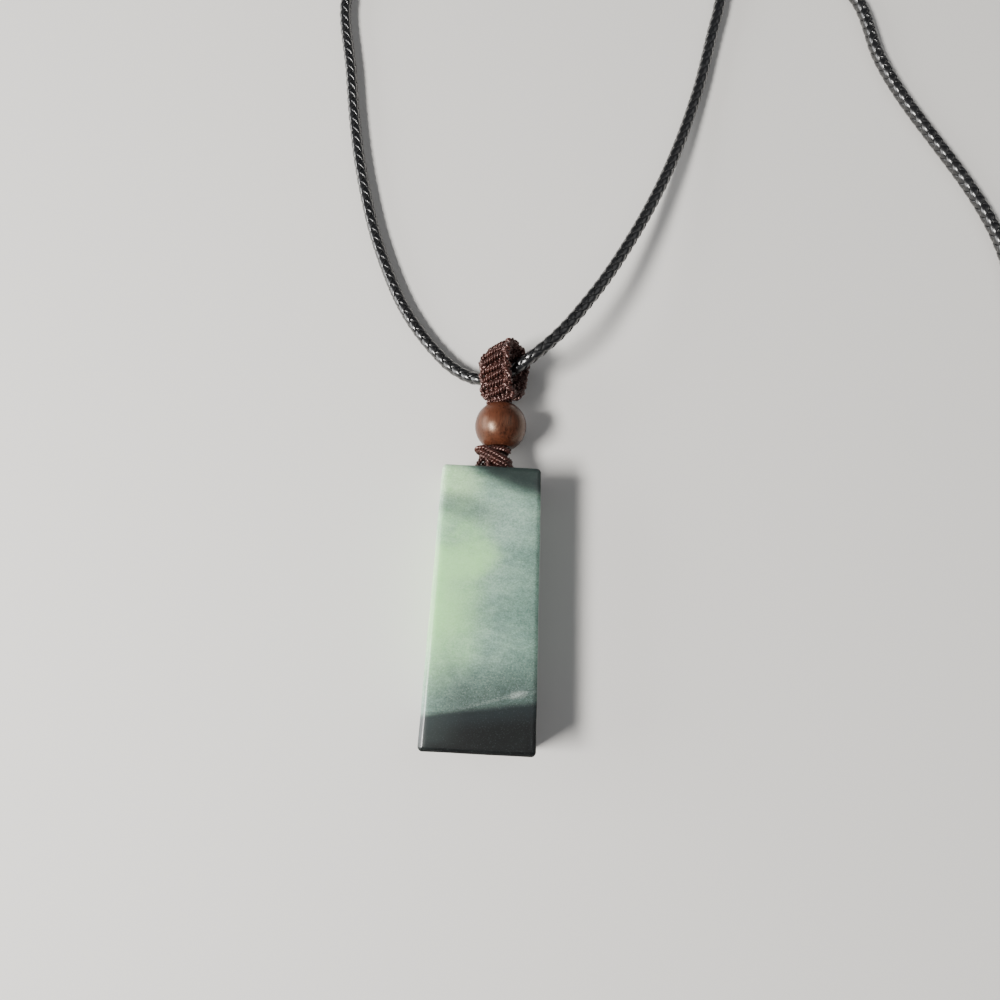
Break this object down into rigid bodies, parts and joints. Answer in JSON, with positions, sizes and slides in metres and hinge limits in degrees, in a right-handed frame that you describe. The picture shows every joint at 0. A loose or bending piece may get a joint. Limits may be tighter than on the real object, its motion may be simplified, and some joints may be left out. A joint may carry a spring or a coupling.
{
  "type": "jade plaque pendant on a braided neck cord",
  "caption": "Rounded jade plaque pendant hung by a wooden bead and a braided bail on a looped waxed neck cord, lying flat.",
  "frame": {"origin": "under the middle of the pendant (plaque, knot, bead and bail), on the surface it rests on", "axes": "+X across the plaque to the right, +Y from the plaque's foot to the bail, +Z out of the plaque's face, up"},
  "size_m": [0.1294, 0.1464, 0.0083],
  "materials": {
    "jade": "satin polish, celadon with two slate zones",
    "thread": "twisted nylon thread, soft sheen",
    "wood": "turned, fine grain, waxed",
    "waxed_cord": "braided and waxed, glossy",
    "steel": "fine turned"
  },
  "bodies": {
    "root": {"jade_plaque": "jade", "base_knot": "thread", "wood_bead": "wood", "braided_bail": "thread", "neck_cord": "waxed_cord", "clasp": "steel"}
  },
  "joints": []
}
